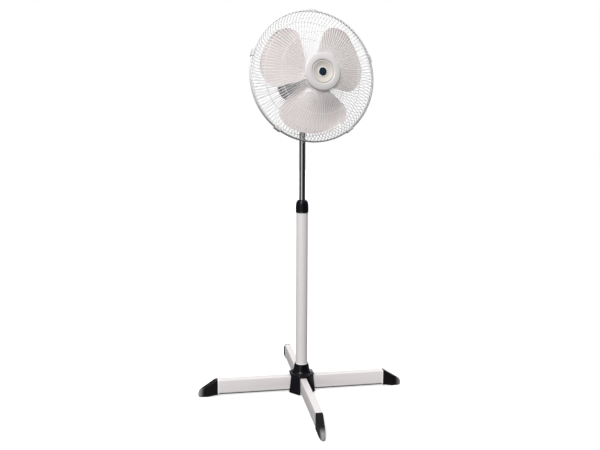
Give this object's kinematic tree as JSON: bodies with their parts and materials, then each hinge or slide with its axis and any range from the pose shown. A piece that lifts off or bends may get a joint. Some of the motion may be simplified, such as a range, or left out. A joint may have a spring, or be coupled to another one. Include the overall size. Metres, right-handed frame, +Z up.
{
  "type": "pedestal fan",
  "caption": "Pedestal fan: caged impeller and motor on a tilting, oscillating neck, telescopic mast and a crossed-bar foot.",
  "frame": {"origin": "on the mast's axis at floor level, midway between the tips of the end caps", "axes": "+Z up along the mast; the foot's bars lie along X and Y; the fan blows towards -Y, turned a little towards +X and up"},
  "size_m": [0.68, 0.68, 1.2267],
  "materials": {
    "white_paint": "satin enamel",
    "white_plastic": "moulded, satin",
    "blade_plastic": "moulded, milky",
    "black_plastic": "moulded, semi-gloss",
    "chrome": "polished",
    "steel": "bare or zinc-plated",
    "brass": "machined",
    "copper": "enamelled copper wire",
    "nylon": "natural nylon",
    "badge_blue": "plain dark disc"
  },
  "bodies": {
    "stand": {"foot_bar_side": "white_paint", "foot_bar_front": "white_paint", "end_cap_right": "black_plastic", "end_cap_rear": "black_plastic", "end_cap_left": "black_plastic", "end_cap_front": "black_plastic", "base_hub": "black_plastic", "hub_cover": "black_plastic", "base_bolt": "steel", "pole_plug": "nylon", "lower_pole": "white_paint", "clamp_bush": "nylon"},
    "height_collar": {"height_collar": "black_plastic"},
    "mast": {"upper_tube": "chrome", "tube_guide": "nylon", "neck_socket": "white_plastic", "neck_screw": "steel", "tilt_bolt": "steel"},
    "tilt_knob": {"tilt_knob": "black_plastic"},
    "neck": {"tilt_bracket": "white_plastic", "swivel_pin": "steel", "link_anchor_pin": "steel"},
    "link": {"link_arm": "steel"},
    "head": {"motor_bracket": "steel", "motor_housing_front": "white_plastic", "motor_housing_rear": "white_plastic", "motor_nose": "steel", "stator_core": "steel", "stator_winding": "copper", "front_bearing": "brass", "rear_bearing": "brass", "capacitor": "black_plastic", "gearbox_case": "nylon", "gearbox_lid": "nylon", "speed_switch": "black_plastic", "cable_gland": "black_plastic", "front_guard": "white_paint", "rear_guard": "white_paint", "guard_plate": "white_paint", "guard_nut": "white_plastic", "guard_badge": "white_plastic", "badge_disc": "badge_blue"},
    "rotor": {"motor_shaft": "steel", "rotor_core": "steel", "impeller": "blade_plastic", "blade_nut": "black_plastic", "worm": "brass"},
    "worm_wheel": {"worm_wheel": "nylon"},
    "pinion": {"spindle_pinion": "steel"},
    "swing_knob": {"swing_rod": "steel", "swing_knob": "black_plastic"},
    "crank": {"crank_gear": "nylon", "crank_disc": "steel"},
    "speed_knob": {"speed_knob": "black_plastic"},
    "clip_1": {"guard_clip_1": "white_plastic"},
    "clip_2": {"guard_clip_2": "white_plastic"},
    "clip_3": {"guard_clip_3": "white_plastic"},
    "clip_4": {"guard_clip_4": "white_plastic"},
    "clip_5": {"guard_clip_5": "white_plastic"}
  },
  "joints": [
    {"name": "height_slide", "type": "slide", "parent": "stand", "child": "mast", "axis": [0, 0, 1], "range_m": [-0.18, 0.05]},
    {"name": "collar_turn", "type": "hinge", "parent": "stand", "child": "height_collar", "pos_m": [0, 0, 0.616], "axis": [0, 0, 1], "range_deg": [0, 90]},
    {"name": "tilt_knob_turn", "type": "hinge", "parent": "mast", "child": "tilt_knob", "pos_m": [0.023, 0, 0.9303], "axis": [1, 0, 0], "range_deg": [0, 180]},
    {"name": "head_tilt", "type": "hinge", "parent": "mast", "child": "neck", "pos_m": [0, 0, 0.9303], "axis": [1, 0, 0], "range_deg": [-13.5, 21.5]},
    {"name": "head_swing", "type": "hinge", "parent": "neck", "child": "head", "pos_m": [0, 0, 0.9303], "axis": [0, 0.1132, 0.9936], "range_deg": [-50.1, 29.9]},
    {"name": "link_turn", "type": "hinge", "parent": "neck", "child": "link", "pos_m": [-0.018, 0, 0.9303], "axis": [0, 0.1132, 0.9936], "range_deg": [-50.1, 29.9]},
    {"name": "crank_turn", "type": "hinge", "parent": "head", "child": "crank", "pos_m": [-0.02142, 0.06282, 0.92314], "axis": [0, 0.1132, 0.9936], "range_deg": [-67.3, 112.8]},
    {"name": "pinion_turn", "type": "hinge", "parent": "head", "child": "pinion", "pos_m": [0.00284, 0.06913, 0.92242], "axis": [0, 0.1132, 0.9936], "range_deg": [-338.3, 201.9]},
    {"name": "swing_knob_pull", "type": "slide", "parent": "head", "child": "swing_knob", "axis": [0, 0.1132, 0.9936], "range_m": [0, 0.008]},
    {"name": "blade_spin", "type": "hinge", "parent": "head", "child": "rotor", "pos_m": [0.01228, -0.05896, 1.02156], "axis": [0.1754, -0.9782, 0.1114], "continuous": true},
    {"name": "worm_wheel_turn", "type": "hinge", "parent": "head", "child": "worm_wheel", "pos_m": [0.00284, 0.07864, 1.00588], "axis": [0, 0.1132, 0.9936], "continuous": true},
    {"name": "speed_knob_turn", "type": "hinge", "parent": "head", "child": "speed_knob", "pos_m": [-0.01929, 0.11711, 1.0015], "axis": [-0.1754, 0.9782, -0.1114], "range_deg": [0, 120]},
    {"name": "clip_1_flip", "type": "hinge", "parent": "head", "child": "clip_1", "pos_m": [0.01715, -0.06377, 1.22118], "axis": [0.9845, 0.1742, -0.0199], "range_deg": [0, 70]},
    {"name": "clip_2_flip", "type": "hinge", "parent": "head", "child": "clip_2", "pos_m": [-0.16804, -0.11201, 1.08912], "axis": [0.3042, 0.1615, 0.9388], "range_deg": [0, 70]},
    {"name": "clip_3_flip", "type": "hinge", "parent": "head", "child": "clip_3", "pos_m": [-0.09731, -0.12453, 0.86798], "axis": [-0.7965, -0.0744, 0.6001], "range_deg": [0, 70]},
    {"name": "clip_4_flip", "type": "hinge", "parent": "head", "child": "clip_4", "pos_m": [0.13161, -0.08401, 0.86337], "axis": [-0.7965, -0.2075, -0.5679], "range_deg": [0, 70]},
    {"name": "clip_5_flip", "type": "hinge", "parent": "head", "child": "clip_5", "pos_m": [0.20234, -0.04646, 1.08165], "axis": [0.3042, -0.0538, -0.9511], "range_deg": [0, 70]}
  ],
  "couplings": [
    {"joint": "link_turn", "follows": "head_swing", "ratio": 1},
    {"joint": "crank_turn", "follows": "head_swing", "ratio": -2.25},
    {"joint": "pinion_turn", "follows": "head_swing", "ratio": 6.75},
    {"joint": "worm_wheel_turn", "follows": "blade_spin", "ratio": 0.0625}
  ]
}
